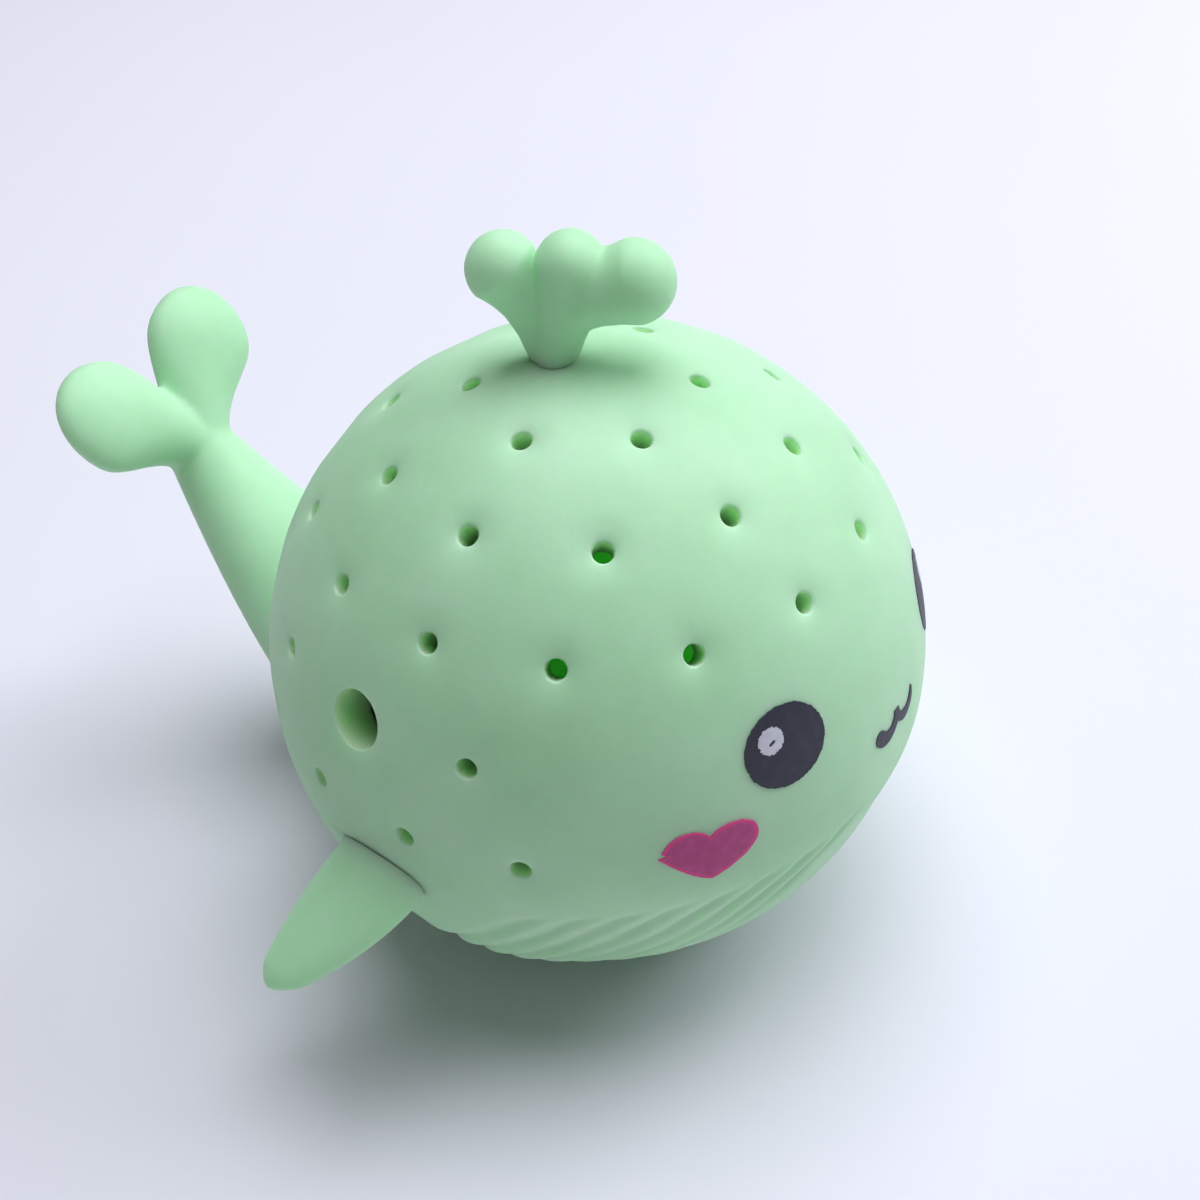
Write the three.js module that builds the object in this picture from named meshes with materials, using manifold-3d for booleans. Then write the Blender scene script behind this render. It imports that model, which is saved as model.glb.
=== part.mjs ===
// A whale bath toy: a hollow round body in two half shells, pierced by rings of spray holes, with a
// turning water spout, turning fins and tail, a belly stopper and a printed face.
// Millimetres. +X is where the whale looks, +Y its left, +Z up. The origin is the centre of the
// flat foot, on the surface that the toy stands on.
import * as THREE from "three";
import { mergeVertices } from "three/addons/utils/BufferGeometryUtils.js";
import Module from "manifold-3d";

// Body
const BODY_RADIUS = 31;
const FOOT_RADIUS = 12.2; // the flat cut off the ball's underside
const WALL = 2.2;
const FLOOR = 3.8; // thickness of the flat belly
const GAP = 0.3; // clearance between separate pieces
const BODY_FACETS = 40;
const CAVITY_FACETS = 28;

// Lap joint where the half shells meet
const LAP_DEPTH = 1.8;
const LAP_THICKNESS = 0.9;
const LAP_BOTTOM = 8; // the lap stops this high above the table

// Spray holes, in rings round the upright axis
const HOLE_DIAMETER = 1.9;
const RING_HOLES = [6, 10, 14, 16, 18];
const RING_TOP_LATITUDE = 71.5;
const RING_STEP = 17.1;
const FACE_HALF_ANGLE = 65; // the low rings leave out this much either side of the face
const FULL_RINGS = 3;
const FILL_HOLE_DIAMETER = 5.3; // one wide hole in the right flank, in the first ring below the full ones
const FILL_HOLE_AZIMUTH = 101.25;
const FILL_NECK_RADIUS = 4.4; // the wall is thicker inside, round the wide hole
const FILL_NECK_DEPTH = 2;

// Throat pleats
const PLEAT_COUNT = 8;
const PLEAT_FIRST_AZIMUTH = 10.8;
const PLEAT_STEP = 8;
const PLEAT_TOP_LATITUDE = -2.8;
const PLEAT_TOP_DROP = 0.6; // each pleat starts this much lower than the one in front
const PLEAT_END_LATITUDE = -46;
const PLEAT_SLANT = 0.93; // degrees round for each degree down
const PLEAT_RADIUS = 0.9;
const PLEAT_DEPTH = 0.4;

// Spout
const SPOUT_LATITUDE = 85.4;
const SPOUT_TURN = 22; // the fan's turn from straight ahead, towards the whale's left
const SPOUT_LEAN = 13;
const SPOUT_HEIGHT = 11.4;
const SPOUT_STEM_RADIUS = 2.35;
const SPOUT_FINGER_RADIUS = 2.95;
const SPOUT_ARM_RISE = 5.4; // where the arms leave the finger
const SPOUT_ARM_HALF_HEIGHT = 2.7;
const SPOUT_ARM_HALF_DEPTH = 2.1;
const SPOUT_BULB_RADIUS = 3.5;
const SPOUT_BULB_SPREAD = 5.35;
const SPOUT_BULB_HEIGHT = 7.3;
const SPOUT_PEG_RADIUS = 1.8;
const SPOUT_FLANGE_RADIUS = 3.4;
const SPOUT_FLANGE_THICKNESS = 1.6;

// Tail
const TAIL_LATITUDE = -32;
const TAIL_NECK_RISE = 32.6; // the neck above the socket's axis
const TAIL_NECK_REACH = 8.4; // the neck out from the ball's surface
const TAIL_BEND_RISE = 1;
const TAIL_BEND_REACH = 6.2;
const TAIL_START_DROP = 5;
const TAIL_START_DEPTH = 8;
const TAIL_ROOT_HALF_WIDTH = 15;
const TAIL_ROOT_HALF_DEPTH = 9;
const TAIL_NECK_RADIUS = 3.3;
const TAIL_PEG_RADIUS = 5.5;
const TAIL_FLANGE_RADIUS = 8.5;
const TAIL_FLANGE_THICKNESS = 2;
const TAIL_KEY_RADIUS = 7;
const TAIL_KEY_HALF_ANGLE = 14;
const TAIL_RANGE = 20; // turn either way
const FLUKE_REACH = 11.7; // out to the side
const FLUKE_LENGTH = 12; // beyond the neck
const FLUKE_HALF_WIDTH = 6;
const FLUKE_HALF_THICKNESS = 2.7;
const FLUKE_CURL = 2.3;
const FLUKE_TILT = 5; // degrees that the flukes are turned on the neck, right lobe down
const FLUKE_SWELL_START = 0.1; // shares of a lobe's line between which it widens from the neck
const FLUKE_SWELL_END = 0.7;
const FLUKE_END = 0.4; // share of a lobe's line over which its end is rounded
const FLUKE_LINE = [
  // a lobe's middle line: shares of its reach, length and curl
  [0, -0.12, 0],
  [0.3, 0.3, 0.5],
  [0.65, 0.64, 1],
  [1, 0.9, 1],
];

// Fins
const FIN_LATITUDE = -9;
const FIN_AZIMUTH = 96.7;
const FIN_DROOP = 25; // from straight out of the ball, downwards
const FIN_CHORD = 9.8;
const FIN_TIP_CHORD = 3.1;
const FIN_SPAN = 13.8;
const FIN_SWEEP = 3.8;
const FIN_SWEEP_POWER = 1.2;
const FIN_TAPER_POWER = 2.1; // 1 would taper evenly, and more keeps the blade broad for longer
const FIN_TIP_LENGTH = 2.2; // rounded end of the blade
const FIN_ROOT_THICKNESS = 4.6;
const FIN_TIP_THICKNESS = 2.4;
const FIN_PEG_RADIUS = 1.7;
const FIN_PEG_RISE = 1.3; // the peg goes this far up into the blade
const FIN_KEY_RADIUS = 3;
const FIN_KEY_HALF_ANGLE = 20;
const FIN_RANGE = 35; // turn either way
const FIN_CAP_RADIUS = 3.6;
const FIN_CAP_THICKNESS = 1.6;
const FIN_CAP_FIT = 0.1;

// Key notches cut into the wall from inside
const KEY_SKIN = 0.9; // wall left over a notch
const KEY_CLEAR_ANGLE = 5;

// Belly stopper
const PLUG_RADIUS = 7.6;
const PLUG_HEAD_RADIUS = 9.3;
const PLUG_HEAD_THICKNESS = 1.4;
const PLUG_TIP = 0.8; // the stopper stands this far into the hollow
const NAIL_NOTCH_RADIUS = 2.6;
const NAIL_NOTCH_DEPTH = 1.2;

// Printed face, as thin films let into the shells
const FILM = 0.5;
const FILM_GAP = 0.2;
const EYE_LATITUDE = 19;
const EYE_AZIMUTH = 26.2;
const EYE_WIDTH = 7.9;
const EYE_HEIGHT = 7.3;
const GLINT_LATITUDE = 21;
const GLINT_AZIMUTH = 28.9;
const GLINT_RADIUS = 1.2;
const LEFT_PRINT_DROP = 4.8; // degrees that the left eye and cheek are printed lower than the right ones
const CHEEK_LATITUDE = 4.6;
const CHEEK_AZIMUTH = 40.6;
const CHEEK_WIDTH = 8.4;
const CHEEK_HEIGHT = 5.6;
const CHEEK_NOTCH = 0.9; // depth of the dip between the heart's lobes
const MOUTH_LATITUDE = 8.3;
const MOUTH_WIDTH = 6.8;
const MOUTH_SAG = 1.7;
const MOUTH_LINE = 0.65;

const MINT = { color: 0xb2e4c0, roughness: 0.62, metalness: 0 };
const STOPPER = { color: 0x9fd3ae, roughness: 0.6, metalness: 0 };
const NAVY_INK = { color: 0x33343f, roughness: 0.5, metalness: 0 };
const WHITE_INK = { color: 0xe8e8f2, roughness: 0.5, metalness: 0 };
const PINK_INK = { color: 0xb0427c, roughness: 0.55, metalness: 0 };

const wasm = await Module();
wasm.setup();
const rad = THREE.MathUtils.degToRad;

// The ball's centre above the flat foot.
const BODY_HEIGHT = Math.sqrt(BODY_RADIUS ** 2 - FOOT_RADIUS ** 2);

// Cutters run from well inside the wall to well outside it, along a line from the ball's centre.
const CUTTER_LOW = 0.5 * BODY_RADIUS;
const CUTTER_HIGH = 1.5 * BODY_RADIUS;

// A rounded end has this many rings and stops just short of a point.
const END_RINGS = 4;
const END_TURN = rad(83);

// A closed geometry as a solid for joining and cutting.
function solid(geometry, matrix = new THREE.Matrix4()) {
  const bare = geometry.clone();
  bare.deleteAttribute("normal");
  bare.deleteAttribute("uv");
  bare.applyMatrix4(matrix);
  const merged = mergeVertices(bare, 1e-4);
  const triVerts = [];
  const index = merged.index.array;
  for (let i = 0; i < index.length; i += 3) {
    const [a, b, c] = index.slice(i, i + 3);
    if (a !== b && b !== c && c !== a) triVerts.push(a, b, c);
  }
  return new wasm.Manifold(
    new wasm.Mesh({
      numProp: 3,
      vertProperties: merged.attributes.position.array,
      triVerts: new Uint32Array(triVerts),
    }),
  );
}

function geometryOf(made) {
  const { vertProperties, triVerts } = made.getMesh();
  const geometry = new THREE.BufferGeometry();
  geometry.setAttribute("position", new THREE.BufferAttribute(vertProperties, 3));
  geometry.setIndex(new THREE.BufferAttribute(triVerts, 1));
  geometry.computeVertexNormals();
  return geometry;
}

function meshOf(name, made, look) {
  const mesh = new THREE.Mesh(geometryOf(made), new THREE.MeshStandardMaterial(look));
  mesh.name = name;
  return mesh;
}

const joined = (...solids) => solids.reduce((whole, next) => whole.add(next));
const cut = (whole, ...tools) => tools.reduce((left, tool) => left.subtract(tool), whole);

function ball(radius, facets = BODY_FACETS) {
  return new THREE.SphereGeometry(radius, facets, facets / 2).rotateX(Math.PI / 2);
}

// A round bar along Z between two heights.
function bar(radius, low, high, sides = 16) {
  const geometry = new THREE.CylinderGeometry(radius, radius, high - low, sides);
  return geometry.rotateX(Math.PI / 2).translate(0, 0, (low + high) / 2);
}

function box(low, high) {
  const size = high.clone().sub(low);
  const middle = low.clone().add(high).multiplyScalar(0.5);
  return new THREE.BoxGeometry(...size.toArray()).translate(...middle.toArray());
}

// An outline drawn on XY, as a prism between two heights.
function prism(shape, low, high, curveSegments = 6) {
  const options = { depth: high - low, bevelEnabled: false, curveSegments };
  return new THREE.ExtrudeGeometry(shape, options).translate(0, 0, low);
}

// A skin through rings that all have the same number of points, closed at both ends.
function loft(rings) {
  const count = rings[0].length;
  const points = rings.flat();
  const ends = [rings[0], rings.at(-1)].map((ring) =>
    ring.reduce((sum, p) => sum.add(p), new THREE.Vector3()).divideScalar(count),
  );
  const index = [];
  for (let r = 0; r + 1 < rings.length; r++) {
    for (let i = 0; i < count; i++) {
      const a = r * count + i;
      const b = r * count + ((i + 1) % count);
      index.push(a, b, b + count, a, b + count, a + count);
    }
  }
  const last = (rings.length - 1) * count;
  for (let i = 0; i < count; i++) {
    const next = (i + 1) % count;
    index.push(points.length, next, i);
    index.push(points.length + 1, last + i, last + next);
  }
  return new THREE.BufferGeometry().setFromPoints([...points, ...ends]).setIndex(index);
}

// An oval ring round a centre, turning from the across direction to the through direction.
function oval(centre, across, through, halfAcross, halfThrough, sides) {
  const ring = [];
  for (let i = 0; i < sides; i++) {
    const angle = (2 * Math.PI * i) / sides;
    const point = centre.clone();
    point.addScaledVector(across, halfAcross * Math.cos(angle));
    point.addScaledVector(through, halfThrough * Math.sin(angle));
    ring.push(point);
  }
  return ring;
}

// A limb along a curve: its oval sections stand square to the curve, half as wide and thick as the two
// functions say, with the thickness along one fixed direction. Its end is flat, or rounded over the
// last share of the curve.
function limb(curve, flat, halfWidth, halfThickness, { sides, steps, endRound = 0 }) {
  const spots = [];
  for (let i = 0; i <= steps; i++) spots.push({ place: ((1 - endRound) * i) / steps, shrink: 1 });
  for (let i = 1; endRound > 0 && i <= END_RINGS; i++) {
    const turn = (END_TURN * i) / END_RINGS;
    spots.push({ place: 1 - endRound + endRound * Math.sin(turn), shrink: Math.cos(turn) });
  }
  const rings = spots.map(({ place, shrink }) => {
    const across = flat.clone().cross(curve.getTangentAt(place)).normalize();
    const width = halfWidth(place) * shrink;
    const thickness = halfThickness(place) * shrink;
    return oval(curve.getPointAt(place), across, flat, width, thickness, sides);
  });
  return loft(rings);
}

// A group at the ball's centre whose Z axis points out through a place on the ball. Its Y axis points
// to the ball's top. Azimuth runs from the face round the whale's right.
function station(latitude, azimuth, turn = 0) {
  const flat = Math.cos(rad(latitude));
  const out = new THREE.Vector3(
    flat * Math.cos(rad(azimuth)),
    -flat * Math.sin(rad(azimuth)),
    Math.sin(rad(latitude)),
  );
  const right = new THREE.Vector3(Math.sin(rad(azimuth)), Math.cos(rad(azimuth)), 0);
  const group = new THREE.Group();
  const basis = new THREE.Matrix4().makeBasis(right, out.clone().cross(right), out);
  group.quaternion.setFromRotationMatrix(basis);
  group.rotateZ(rad(turn));
  group.position.set(0, 0, BODY_HEIGHT);
  group.updateMatrix();
  return group;
}

const places = {
  spout: station(SPOUT_LATITUDE, 180, 90 + SPOUT_TURN),
  tail: station(TAIL_LATITUDE, 180),
  fin: station(FIN_LATITUDE, FIN_AZIMUTH),
  mouth: station(MOUTH_LATITUDE, 0),
};

// Where one side's eye, glint and cheek are printed.
const printPlaces = (drop) => ({
  eye: station(EYE_LATITUDE - drop, EYE_AZIMUTH),
  glint: station(GLINT_LATITUDE - drop, GLINT_AZIMUTH),
  cheek: station(CHEEK_LATITUDE - drop, CHEEK_AZIMUTH),
});

// A circle with a sector standing out of it, for a peg with a stop key or for the notch it turns in.
function keyed(radius, keyRadius, halfAngle) {
  const shape = new THREE.Shape();
  shape.absarc(0, 0, radius, rad(halfAngle), rad(360 - halfAngle), false);
  shape.absarc(0, 0, keyRadius, rad(-halfAngle), rad(halfAngle), false);
  return shape;
}

// The hollow is cut with a ball whose flat facets lie on or outside the true inner wall.
const HOLLOW_RADIUS = (BODY_RADIUS - WALL) / Math.cos(Math.PI / CAVITY_FACETS) ** 2;

// The height at which the hollow's round wall meets a disc of this radius on the station's axis.
const innerHeight = (radius) => Math.sqrt((BODY_RADIUS - WALL) ** 2 - radius ** 2);

// Peg, stop key and holes that a turning piece and the wall share.
const turning = {
  fin: {
    peg: FIN_PEG_RADIUS,
    key: FIN_KEY_RADIUS,
    half: FIN_KEY_HALF_ANGLE,
    range: FIN_RANGE,
  },
  tail: {
    peg: TAIL_PEG_RADIUS,
    key: TAIL_KEY_RADIUS,
    half: TAIL_KEY_HALF_ANGLE,
    range: TAIL_RANGE,
  },
};
const KEY_TOP = BODY_RADIUS - KEY_SKIN - GAP;
const KEY_BOTTOM = BODY_RADIUS - WALL;

function stopKey({ peg, key, half }) {
  return solid(prism(keyed(peg, key, half), KEY_BOTTOM, KEY_TOP));
}

function socket({ peg, key, half, range }, matrix) {
  const notch = keyed(peg + GAP, key + GAP, half + range + KEY_CLEAR_ANGLE);
  const hole = solid(bar(peg + GAP, CUTTER_LOW, CUTTER_HIGH), matrix);
  return hole.add(solid(prism(notch, CUTTER_LOW, KEY_TOP + GAP), matrix));
}

// Every hole of one side, with its azimuth from 0 to 180. The wide hole takes the place of the spray
// hole nearest to it.
function holesOf(fillHole) {
  const holes = [];
  RING_HOLES.forEach((count, ring) => {
    const latitude = RING_TOP_LATITUDE - RING_STEP * ring;
    const step = 360 / count;
    for (let i = 0; i < count / 2; i++) {
      const azimuth = step * (i + 0.5);
      const nearest = Math.floor(FILL_HOLE_AZIMUTH / step) === i;
      if (fillHole && ring === FULL_RINGS && nearest) {
        const wide = { diameter: FILL_HOLE_DIAMETER, sides: 16, neck: true };
        holes.push({ latitude, azimuth: FILL_HOLE_AZIMUTH, ...wide });
      } else if (ring < FULL_RINGS || azimuth > FACE_HALF_ANGLE) {
        holes.push({ latitude, azimuth, diameter: HOLE_DIAMETER, sides: 6 });
      }
    }
  });
  return holes;
}

// A pleat's cutter: a four-sided bar, edge down, that follows a slanting line down the throat and
// rises out of the surface at both ends.
function pleat(number) {
  const top = PLEAT_TOP_LATITUDE - PLEAT_TOP_DROP * number;
  const steps = 5;
  const rings = [];
  for (let i = 0; i <= steps; i++) {
    const along = i / steps;
    const latitude = THREE.MathUtils.lerp(top, PLEAT_END_LATITUDE, along);
    const azimuth = PLEAT_FIRST_AZIMUTH + PLEAT_STEP * number + PLEAT_SLANT * (top - latitude);
    const frame = station(latitude, azimuth, -90 - THREE.MathUtils.radToDeg(Math.atan(PLEAT_SLANT)));
    const depth = PLEAT_DEPTH * Math.sqrt(Math.sin(Math.PI * along));
    const centre = new THREE.Vector3(0, 0, BODY_RADIUS + PLEAT_RADIUS - depth);
    const side = new THREE.Vector3(0, 1, 0);
    const up = new THREE.Vector3(0, 0, 1);
    const ring = oval(centre, side, up, PLEAT_RADIUS, PLEAT_RADIUS, 4);
    rings.push(ring.map((point) => point.applyMatrix4(frame.matrix)));
  }
  return solid(loft(rings));
}

// A film on the ball inside an outline, level with the surface.
function film(tool) {
  return tool.intersect(solid(ball(BODY_RADIUS))).subtract(solid(ball(BODY_RADIUS - FILM)));
}

// The pocket that a film lies in.
function pocket(tool, matrix) {
  const inner = solid(ball(BODY_RADIUS - FILM - GAP));
  return tool.subtract(inner).transform(matrix.elements);
}

const FILM_LOW = 0.8 * BODY_RADIUS;
const FILM_HIGH = 1.1 * BODY_RADIUS;

function discTool(halfWidth, halfHeight) {
  return solid(bar(1, FILM_LOW, FILM_HIGH, 24).scale(halfWidth, halfHeight, 1));
}

function eyeTool(margin) {
  return discTool(EYE_WIDTH / 2 + margin, EYE_HEIGHT / 2 + margin);
}

function glintTool(margin) {
  return discTool(GLINT_RADIUS + margin, GLINT_RADIUS + margin);
}

// A heart with its point down: a curve up one side, and its mirror image.
function heart(margin) {
  const half = CHEEK_WIDTH / 2 + margin;
  const high = CHEEK_HEIGHT / 2 + margin;
  const side = new THREE.Path();
  side.moveTo(0, -high);
  side.bezierCurveTo(0.35 * half, -0.8 * high, half, -0.25 * high, half, 0.35 * high);
  side.bezierCurveTo(half, 0.75 * high, 0.8 * half, high, 0.5 * half, high);
  side.quadraticCurveTo(0.15 * half, high, 0, high - CHEEK_NOTCH);
  const points = side.getPoints(6);
  const mirrored = points.slice(1, -1).map(({ x, y }) => new THREE.Vector2(-x, y));
  return solid(prism(new THREE.Shape([...points, ...mirrored.reverse()]), FILM_LOW, FILM_HIGH));
}

// Two small hanging arcs side by side, drawn with a round-ended line.
function mouthLine(margin) {
  const half = MOUTH_LINE / 2 + margin;
  const reach = MOUTH_WIDTH / 4;
  const level = MOUTH_SAG / 2;
  const strokes = [-reach, reach].map((x) => {
    const stroke = new THREE.Shape();
    stroke.absellipse(x, level, reach + half, MOUTH_SAG + half, Math.PI, 2 * Math.PI, false);
    stroke.absellipse(x, level, reach - half, MOUTH_SAG - half, 2 * Math.PI, Math.PI, true);
    return solid(prism(stroke, FILM_LOW, FILM_HIGH, 5));
  });
  const ends = [-2 * reach, 0, 2 * reach].map((x) =>
    solid(bar(half, FILM_LOW, FILM_HIGH, 8).translate(x, level, 0)),
  );
  return joined(...strokes, ...ends);
}

// The right half of the body, whose flat face lies on the middle plane. The left half is its mirror
// image, with the lap's tongue in place of the rebate, without the wide hole and with lower prints.
function shellHalf({ tongue, fillHole, prints }) {
  const far = 3 * BODY_RADIUS;
  const move = new THREE.Matrix4().makeTranslation(0, 0, BODY_HEIGHT);
  const below = (height) =>
    solid(box(new THREE.Vector3(-far, -far, -far), new THREE.Vector3(far, far, height)));
  const leftSide = solid(box(new THREE.Vector3(-far, 0, -far), new THREE.Vector3(far, far, far)));
  const outside = solid(ball(BODY_RADIUS), move).subtract(below(0));
  const hollow = solid(ball(HOLLOW_RADIUS, CAVITY_FACETS), move).subtract(below(FLOOR));
  let half = cut(outside, hollow, leftSide);

  const lapRing = (inner, outer, low, high, bottom) => {
    const turned = new THREE.Matrix4().makeRotationX(Math.PI / 2).setPosition(0, 0, BODY_HEIGHT);
    const ring = solid(bar(outer, low, high, BODY_FACETS), turned);
    return cut(ring, solid(bar(inner, low - 1, high + 1, BODY_FACETS), turned), below(bottom));
  };
  const lapInner = BODY_RADIUS - WALL;
  if (tongue) {
    half = half.add(lapRing(lapInner, lapInner + LAP_THICKNESS, -LAP_DEPTH, GAP, LAP_BOTTOM));
  } else {
    const rebateOuter = lapInner + LAP_THICKNESS + GAP;
    half = half.subtract(lapRing(1, rebateOuter, -1, LAP_DEPTH + GAP, LAP_BOTTOM - GAP));
  }

  half = cut(
    half,
    solid(bar(SPOUT_PEG_RADIUS + GAP, CUTTER_LOW, CUTTER_HIGH), places.spout.matrix),
    socket(turning.tail, places.tail.matrix),
    socket(turning.fin, places.fin.matrix),
    solid(bar(PLUG_RADIUS + GAP, -1, FLOOR + WALL, 28)),
    solid(bar(PLUG_HEAD_RADIUS + GAP, -1, PLUG_HEAD_THICKNESS + GAP, 28)),
    solid(bar(NAIL_NOTCH_RADIUS, -1, NAIL_NOTCH_DEPTH).translate(PLUG_HEAD_RADIUS, 0, 0)),
  );
  for (const { latitude, azimuth, diameter, sides, neck } of holesOf(fillHole)) {
    const { matrix } = station(latitude, azimuth);
    if (neck) {
      const neckLow = BODY_RADIUS - WALL - FILL_NECK_DEPTH;
      half = half.add(solid(bar(FILL_NECK_RADIUS, neckLow, BODY_RADIUS - WALL / 2, sides), matrix));
    }
    half = half.subtract(solid(bar(diameter / 2, CUTTER_LOW, CUTTER_HIGH, sides), matrix));
  }
  for (let i = 0; i < PLEAT_COUNT; i++) half = half.subtract(pleat(i));
  return cut(
    half,
    pocket(eyeTool(FILM_GAP), prints.eye.matrix),
    pocket(heart(FILM_GAP), prints.cheek.matrix),
    pocket(mouthLine(FILM_GAP), places.mouth.matrix),
  );
}

// The clear ball that the roots of the outer pieces are cut back to.
const rootCut = () => solid(ball(BODY_RADIUS + GAP));

function spoutSolid() {
  const level = rad(90 - SPOUT_LATITUDE); // the arms spread level, not square to the socket
  const base = new THREE.Vector3(0, 0, BODY_RADIUS);
  const fan = new THREE.Vector3(Math.cos(level), 0, -Math.sin(level));
  const rise = new THREE.Vector3(Math.tan(rad(SPOUT_LEAN)), 0, 1);
  const depth = new THREE.Vector3(0, 1, 0);
  const at = (a, b) => base.clone().addScaledVector(fan, a).addScaledVector(rise, b);
  const root = at(0, -SPOUT_STEM_RADIUS);

  const middle = new THREE.LineCurve3(root, at(0, SPOUT_HEIGHT));
  const fingerHalf = (t) => THREE.MathUtils.lerp(SPOUT_STEM_RADIUS, SPOUT_FINGER_RADIUS, t);
  const fingerEnd = SPOUT_FINGER_RADIUS / middle.getLength();
  const finger = limb(middle, depth, fingerHalf, fingerHalf, { sides: 12, steps: 3, endRound: fingerEnd });
  const pieces = [solid(finger)];
  for (const side of [1, -1]) {
    const bulb = at(side * SPOUT_BULB_SPREAD, SPOUT_BULB_HEIGHT);
    const arm = new THREE.LineCurve3(at(0, SPOUT_ARM_RISE), bulb);
    const armHeight = (t) => THREE.MathUtils.lerp(SPOUT_ARM_HALF_HEIGHT, SPOUT_BULB_RADIUS, t);
    const armDepth = (t) => THREE.MathUtils.lerp(SPOUT_ARM_HALF_DEPTH, SPOUT_BULB_RADIUS, t);
    pieces.push(solid(limb(arm, depth, armHeight, armDepth, { sides: 12, steps: 4 })));
    const knob = new THREE.SphereGeometry(SPOUT_BULB_RADIUS, 16, 10);
    pieces.push(solid(knob.translate(bulb.x, bulb.y, bulb.z)));
  }
  const flangeTop = innerHeight(SPOUT_FLANGE_RADIUS) - GAP;
  const flangeLow = flangeTop - SPOUT_FLANGE_THICKNESS;
  return joined(
    joined(...pieces).subtract(rootCut()),
    solid(bar(SPOUT_PEG_RADIUS, flangeLow, BODY_RADIUS + SPOUT_STEM_RADIUS)),
    solid(bar(SPOUT_FLANGE_RADIUS, flangeLow, flangeTop)),
  );
}

function tailSolid() {
  const at = (rise, reach) => new THREE.Vector3(0, rise, BODY_RADIUS + reach);
  const across = new THREE.Vector3(1, 0, 0);
  const neck = at(TAIL_NECK_RISE, TAIL_NECK_REACH);
  const bend = at(TAIL_BEND_RISE, TAIL_BEND_REACH);
  const start = at(-TAIL_START_DROP, -TAIL_START_DEPTH);
  const curve = new THREE.QuadraticBezierCurve3(start, bend, neck);
  const stemDepth = (t) => THREE.MathUtils.lerp(TAIL_ROOT_HALF_DEPTH, TAIL_NECK_RADIUS, t);
  const stemWidth = (t) => THREE.MathUtils.lerp(TAIL_ROOT_HALF_WIDTH, TAIL_NECK_RADIUS, t);
  const stem = solid(limb(curve, across, stemDepth, stemWidth, { sides: 18, steps: 8 }));

  const along = neck.clone().sub(bend).normalize();
  const face = new THREE.Vector3().crossVectors(along, across);
  const tilt = new THREE.Quaternion().setFromAxisAngle(face, rad(FLUKE_TILT));
  const outward = across.clone().applyQuaternion(tilt);
  const onward = along.clone().applyQuaternion(tilt);
  const flukes = [1, -1].map((side) => {
    const spots = FLUKE_LINE.map(([out, beyond, curl]) =>
      neck
        .clone()
        .addScaledVector(outward, side * out * FLUKE_REACH)
        .addScaledVector(onward, beyond * FLUKE_LENGTH)
        .addScaledVector(face, curl * FLUKE_CURL),
    );
    const line = new THREE.CubicBezierCurve3(...spots);
    const swell = (t) => THREE.MathUtils.smoothstep(t, FLUKE_SWELL_START, FLUKE_SWELL_END);
    const halfWidth = (t) => THREE.MathUtils.lerp(TAIL_NECK_RADIUS, FLUKE_HALF_WIDTH, swell(t));
    const halfThickness = (t) => THREE.MathUtils.lerp(TAIL_NECK_RADIUS, FLUKE_HALF_THICKNESS, t);
    const facets = { sides: 12, steps: 5, endRound: FLUKE_END };
    return solid(limb(line, face, halfWidth, halfThickness, facets));
  });
  const flangeTop = innerHeight(TAIL_FLANGE_RADIUS) - GAP;
  const flangeLow = flangeTop - TAIL_FLANGE_THICKNESS;
  return joined(
    joined(stem, ...flukes).subtract(rootCut()),
    solid(bar(TAIL_PEG_RADIUS, flangeLow, BODY_RADIUS + TAIL_NECK_RADIUS)),
    solid(bar(TAIL_FLANGE_RADIUS, flangeLow, flangeTop, 24)),
    stopKey(turning.tail),
  );
}

function finSolid() {
  const chordwise = new THREE.Vector3(1, 0, 0);
  const spanwise = new THREE.Vector3(0, -Math.sin(rad(FIN_DROOP)), Math.cos(rad(FIN_DROOP)));
  const thickness = new THREE.Vector3().crossVectors(spanwise, chordwise);
  const rings = [];
  const steps = 8;
  for (let i = -1; i <= steps; i++) {
    const along = Math.sin((END_TURN * i) / steps);
    const out = Math.max(along, 0);
    const intoTip = Math.max(0, 1 - ((1 - out) * FIN_SPAN) / FIN_TIP_LENGTH);
    const rounded = Math.sqrt(1 - intoTip ** 2);
    const chord = THREE.MathUtils.lerp(FIN_CHORD, FIN_TIP_CHORD, out ** FIN_TAPER_POWER) * rounded;
    const thick = THREE.MathUtils.lerp(FIN_ROOT_THICKNESS, FIN_TIP_THICKNESS, out) * rounded;
    const centre = new THREE.Vector3(0, 0, BODY_RADIUS);
    centre.addScaledVector(spanwise, along * FIN_SPAN);
    centre.addScaledVector(chordwise, -FIN_SWEEP * out ** FIN_SWEEP_POWER);
    rings.push(oval(centre, chordwise, thickness, chord / 2, thick / 2, 14));
  }
  const blade = solid(loft(rings)).subtract(rootCut());
  const pegEnd = innerHeight(FIN_CAP_RADIUS) - 2 * GAP - FIN_CAP_THICKNESS;
  const peg = solid(bar(FIN_PEG_RADIUS, pegEnd, BODY_RADIUS + FIN_PEG_RISE));
  return joined(blade, peg, stopKey(turning.fin));
}

function finCapSolid() {
  const high = innerHeight(FIN_CAP_RADIUS) - GAP;
  const low = high - FIN_CAP_THICKNESS;
  const bore = solid(bar(FIN_PEG_RADIUS + FIN_CAP_FIT, low - 1, high + 1));
  return solid(bar(FIN_CAP_RADIUS, low, high)).subtract(bore);
}

function plugSolid() {
  return joined(
    solid(bar(PLUG_HEAD_RADIUS, 0, PLUG_HEAD_THICKNESS, 28)),
    solid(bar(PLUG_RADIUS, 0, FLOOR + PLUG_TIP, 28)),
  );
}

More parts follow.
